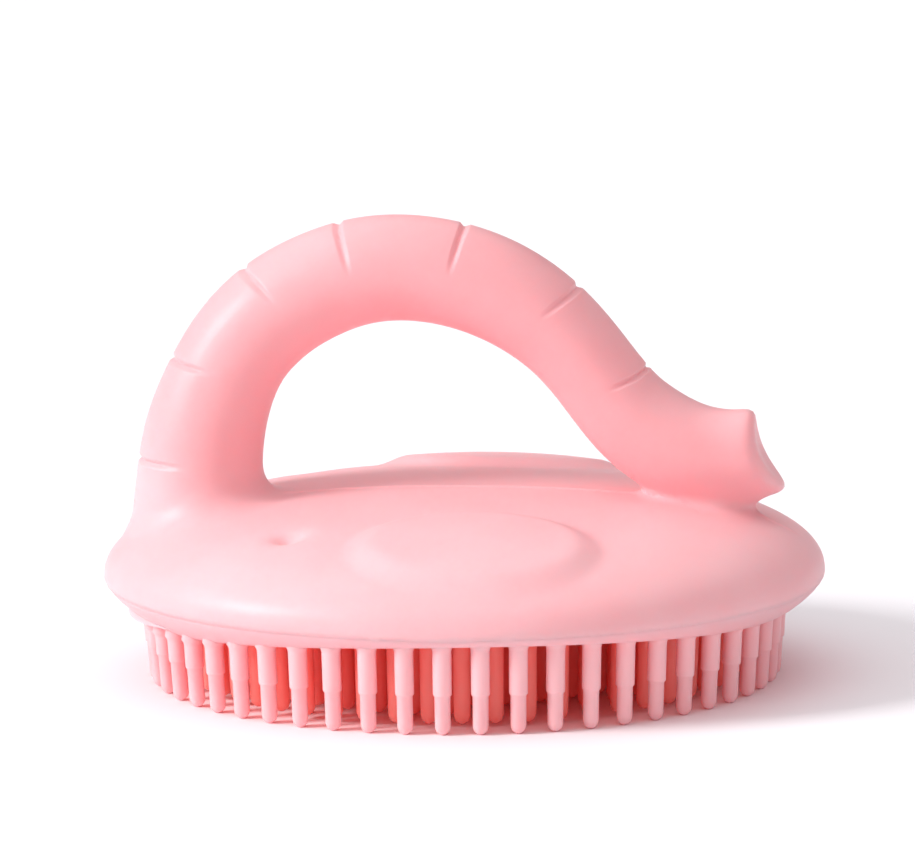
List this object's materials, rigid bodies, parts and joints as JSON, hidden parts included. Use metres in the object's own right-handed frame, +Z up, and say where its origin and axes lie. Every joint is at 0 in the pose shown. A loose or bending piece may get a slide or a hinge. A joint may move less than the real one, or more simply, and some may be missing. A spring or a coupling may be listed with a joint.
{
  "type": "scalp massager brush",
  "caption": "Hand-held scalp massager brush in pink silicone: an elephant's head whose trunk loops back as the handle, over a field of soft upright bristles",
  "frame": {"origin": "on the ground under the middle of the head, level with the tips of the outer bristles, which the brush stands on", "axes": "+Z up, +X from the elephant's face towards the trunk's tip, Y across the head; Y = 0 is the plane of symmetry"},
  "size_m": [0.096, 0.089, 0.0624],
  "materials": {
    "skin_silicone": "satin moulded silicone, pink",
    "bristle_silicone": "satin moulded silicone, pink, slightly translucent",
    "stiff_plastic": "moulded polypropylene, natural",
    "screw_steel": "stainless steel"
  },
  "bodies": {
    "head": {"head_skin": "skin_silicone", "bristle_pad": "skin_silicone", "inner_shell": "stiff_plastic", "base_plate": "stiff_plastic", "handle_core": "stiff_plastic", "handle_screws": "screw_steel", "base_screws": "screw_steel", "ring_1_roots": "bristle_silicone", "ring_2_roots": "bristle_silicone", "ring_3_roots": "bristle_silicone", "ring_4_roots": "bristle_silicone", "ring_5_roots": "bristle_silicone", "ring_6_roots": "bristle_silicone", "ring_7_roots": "bristle_silicone", "centre_root": "bristle_silicone"},
    "bristle_tips": {"ring_1_tips": "bristle_silicone", "ring_2_tips": "bristle_silicone", "ring_3_tips": "bristle_silicone", "ring_4_tips": "bristle_silicone", "ring_5_tips": "bristle_silicone", "ring_6_tips": "bristle_silicone", "ring_7_tips": "bristle_silicone", "centre_tip": "bristle_silicone"}
  },
  "joints": [
    {"name": "bristle_sway", "type": "slide", "parent": "head", "child": "bristle_tips", "axis": [1, 0, 0], "range_m": [-0.003, 0.003], "stiffness_N_per_m": 800}
  ]
}
